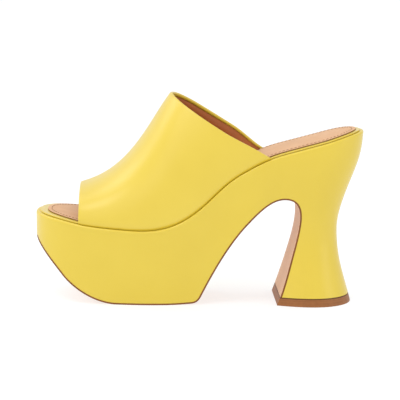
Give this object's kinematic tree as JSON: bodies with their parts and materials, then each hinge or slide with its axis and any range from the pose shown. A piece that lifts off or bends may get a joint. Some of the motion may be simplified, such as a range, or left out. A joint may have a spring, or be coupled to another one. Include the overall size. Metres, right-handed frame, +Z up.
{
  "type": "platform mule sandal",
  "caption": "Peep-toe platform mule in yellow leather with a wide vamp, a tan footbed and a sculpted hourglass heel.",
  "frame": {"origin": "on the floor under the middle of the shoe's length and width", "axes": "toe towards -X, heel towards +X, medial side towards +Y, lateral side towards -Y, +Z up"},
  "size_m": [0.232, 0.0876, 0.1477],
  "materials": {
    "platform_heel": "smooth yellow leather over a moulded platform and heel, satin",
    "upper": "smooth yellow leather outside and tan lining inside, satin",
    "insole_board": "yellow leather folded over the board's edge, satin",
    "sock": "natural tan leather, stitched round its edge, matt",
    "outsole": "natural tan leather with a dark edge, satin",
    "top_lift": "brown leather, matt"
  },
  "bodies": {
    "root": {"platform_heel": "platform_heel", "upper": "upper", "insole_board": "insole_board", "sock": "sock", "outsole": "outsole", "top_lift": "top_lift"}
  },
  "joints": []
}
